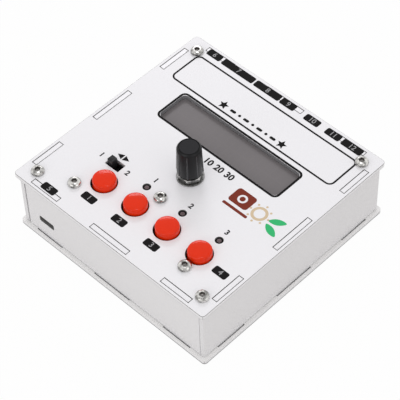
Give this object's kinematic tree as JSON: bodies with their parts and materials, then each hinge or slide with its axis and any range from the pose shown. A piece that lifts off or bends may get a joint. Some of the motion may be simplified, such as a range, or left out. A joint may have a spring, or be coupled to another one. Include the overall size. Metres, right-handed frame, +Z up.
{
  "type": "morse code keyer",
  "caption": "Flat square desk keyer: tabbed metal box with a display window, encoder knob, round push buttons, slide switch, small lights, and sockets in its front and back walls.",
  "frame": {"origin": "centre of the box's outline, on the surface that its four bottom screw heads stand on", "axes": "+Z up through the display and the knob, +X to the right along the row of buttons, -Y out of the front wall"},
  "size_m": [0.1036, 0.1036, 0.0501],
  "materials": {
    "plate": "pale satin anodised sheet with machined edges",
    "wall": "pale satin anodised sheet",
    "screw": "nickel plated, polished",
    "standoff": "plated brass",
    "circuit_board": "green solder mask on glass fibre board",
    "bezel": "black painted sheet steel",
    "display": "unlit grey liquid crystal cell, satin",
    "button_cap": "red moulded plastic, half gloss",
    "black_plastic": "black moulded plastic",
    "light_lens": "dark smoked lens, unlit",
    "encoder_metal": "dark nickel, turned",
    "knob": "black moulded plastic, satin",
    "socket_shell": "tinned steel",
    "print": "black screen print",
    "ornament": "coloured print"
  },
  "bodies": {
    "case": {"top_plate": "plate", "bottom_plate": "plate", "front_wall": "wall", "back_wall": "wall", "left_wall": "wall", "right_wall": "wall", "lower_standoff_front_left": "standoff", "lower_standoff_front_right": "standoff", "lower_standoff_back_left": "standoff", "lower_standoff_back_right": "standoff", "upper_pillar_front_left": "standoff", "upper_pillar_front_right": "standoff", "upper_pillar_back_left": "standoff", "upper_pillar_back_right": "standoff", "top_screw_front_left": "screw", "top_screw_front_right": "screw", "top_screw_back_left": "screw", "top_screw_back_right": "screw", "bottom_screw_front_left": "screw", "bottom_screw_front_right": "screw", "bottom_screw_back_left": "screw", "bottom_screw_back_right": "screw", "board_screw_left": "screw", "board_screw_middle": "screw", "board_screw_right": "screw", "board_spacer_left": "standoff", "board_spacer_middle": "standoff", "board_spacer_right": "standoff", "main_board": "circuit_board", "control_board": "circuit_board", "display_board": "circuit_board", "display_bezel": "bezel", "display_glass": "display", "button_switch_1": "black_plastic", "button_switch_2": "black_plastic", "button_switch_3": "black_plastic", "button_switch_4": "black_plastic", "slide_switch_housing": "black_plastic", "indicator_light_1": "light_lens", "indicator_light_2": "light_lens", "indicator_light_3": "light_lens", "encoder_body": "encoder_metal", "encoder_washer": "encoder_metal", "encoder_nut": "encoder_metal", "front_usb_socket": "socket_shell", "rear_usb_socket": "socket_shell", "usb_host_socket": "socket_shell", "jack_1": "black_plastic", "jack_2": "black_plastic", "jack_3": "black_plastic", "jack_4": "black_plastic", "jack_5": "black_plastic"},
    "button_1": {"button_cap_1": "button_cap"},
    "button_2": {"button_cap_2": "button_cap"},
    "button_3": {"button_cap_3": "button_cap"},
    "button_4": {"button_cap_4": "button_cap"},
    "mode_lever": {"slide_switch_lever": "black_plastic"},
    "encoder_push": {"encoder_plunger": "black_plastic"},
    "knob": {"encoder_shaft": "encoder_metal", "encoder_knob": "knob"}
  },
  "joints": [
    {"name": "button_1_press", "type": "slide", "parent": "case", "child": "button_1", "axis": [0, 0, -1], "range_m": [0, 0.0003], "stiffness_N_per_m": 1500},
    {"name": "button_2_press", "type": "slide", "parent": "case", "child": "button_2", "axis": [0, 0, -1], "range_m": [0, 0.0003], "stiffness_N_per_m": 1500},
    {"name": "button_3_press", "type": "slide", "parent": "case", "child": "button_3", "axis": [0, 0, -1], "range_m": [0, 0.0003], "stiffness_N_per_m": 1500},
    {"name": "button_4_press", "type": "slide", "parent": "case", "child": "button_4", "axis": [0, 0, -1], "range_m": [0, 0.0003], "stiffness_N_per_m": 1500},
    {"name": "mode_slide", "type": "slide", "parent": "case", "child": "mode_lever", "axis": [1, 0, 0], "range_m": [0, 0.003]},
    {"name": "encoder_press", "type": "slide", "parent": "case", "child": "encoder_push", "axis": [0, 0, -1], "range_m": [0, 0.0005], "stiffness_N_per_m": 2000},
    {"name": "knob_turn", "type": "hinge", "parent": "encoder_push", "child": "knob", "pos_m": [0.0007, -0.00595, 0.0335], "axis": [0, 0, 1], "continuous": true}
  ]
}
